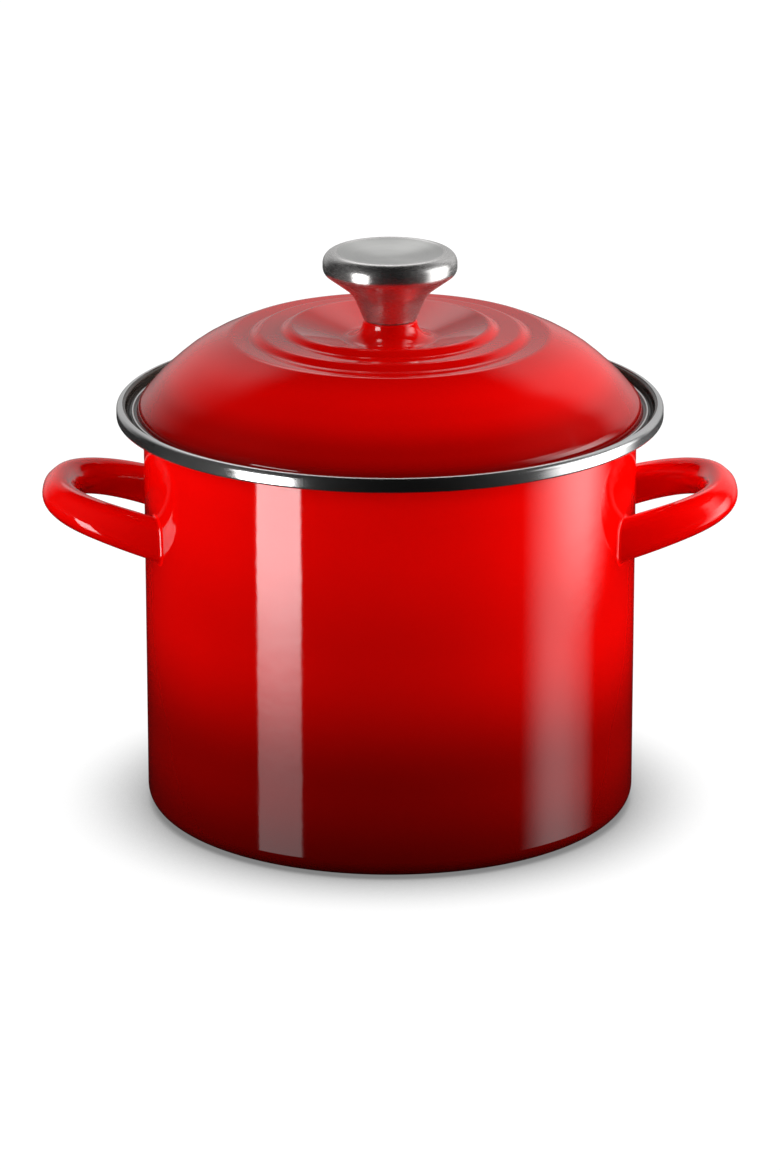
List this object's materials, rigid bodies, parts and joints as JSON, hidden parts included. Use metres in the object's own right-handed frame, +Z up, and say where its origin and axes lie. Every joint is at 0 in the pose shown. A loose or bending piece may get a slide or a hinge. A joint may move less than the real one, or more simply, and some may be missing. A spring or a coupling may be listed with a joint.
{
  "type": "stock pot",
  "caption": "Tall round enamelled steel stock pot with a domed lid that lifts off, a dished metal knob, metal rim bands and a welded loop handle on either side.",
  "frame": {"origin": "centre of the base, on the surface the pot stands on", "axes": "+Z up through the knob, X through the two handles, Y to the front and back"},
  "size_m": [0.3198, 0.2506, 0.2624],
  "materials": {
    "red_enamel": "gloss",
    "dark_enamel": "gloss",
    "polished_steel": "polished",
    "brushed_steel": "brushed",
    "plain_steel": "satin",
    "seal_rubber": "matt"
  },
  "bodies": {
    "pot": {"pot_body": "red_enamel", "pot_inner_enamel": "dark_enamel", "pot_rim_band": "polished_steel", "left_handle_shell": "red_enamel", "left_handle_inner_plate": "red_enamel", "left_handle_weld_front": "red_enamel", "left_handle_weld_back": "red_enamel", "right_handle_shell": "red_enamel", "right_handle_inner_plate": "red_enamel", "right_handle_weld_front": "red_enamel", "right_handle_weld_back": "red_enamel"},
    "lid": {"lid_shell": "red_enamel", "lid_inner_enamel": "dark_enamel", "lid_rim_band": "polished_steel", "knob_shell": "brushed_steel", "knob_cap": "brushed_steel", "knob_insert": "plain_steel", "knob_seal": "seal_rubber", "flat_washer": "plain_steel", "spring_washer": "plain_steel", "knob_screw": "plain_steel"}
  },
  "joints": [
    {"name": "lid_lift", "type": "slide", "parent": "pot", "child": "lid", "axis": [0, 0, 1], "range_m": [0, 0.25]}
  ]
}
